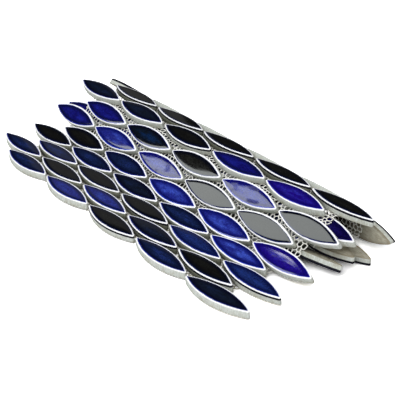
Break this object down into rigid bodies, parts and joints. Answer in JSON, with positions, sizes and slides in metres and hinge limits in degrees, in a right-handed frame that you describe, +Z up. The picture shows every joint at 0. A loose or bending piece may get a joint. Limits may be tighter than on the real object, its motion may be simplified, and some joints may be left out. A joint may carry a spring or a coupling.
{
  "type": "sheet of leaf-shaped mosaic tiles on mesh",
  "caption": "Mesh-backed sheet of glazed leaf-shaped mosaic tiles in staggered rows, lying with its far end rolled under itself.",
  "frame": {"origin": "floor level under the middle of the sheet as it lies", "axes": "+X along the rows of tiles, +Y across the rows from the flat near edge to the rolled end, +Z up"},
  "size_m": [0.3274, 0.1307, 0.0341],
  "materials": {
    "glazed_tile": "gloss",
    "mesh": "matte"
  },
  "bodies": {
    "root": {"tile_row_01": "glazed_tile", "tile_row_02": "glazed_tile", "tile_row_03": "glazed_tile", "tile_row_04": "glazed_tile", "tile_row_05": "glazed_tile", "tile_row_06": "glazed_tile", "tile_row_07": "glazed_tile", "tile_row_08": "glazed_tile", "tile_row_09": "glazed_tile", "tile_row_10": "glazed_tile", "tile_row_11": "glazed_tile", "tile_row_12": "glazed_tile", "tile_row_13": "glazed_tile", "tile_row_14": "glazed_tile", "tile_row_15": "glazed_tile", "tile_row_16": "glazed_tile", "tile_row_17": "glazed_tile", "tile_row_18": "glazed_tile", "tile_row_19": "glazed_tile", "mesh_backing": "mesh"}
  },
  "joints": []
}
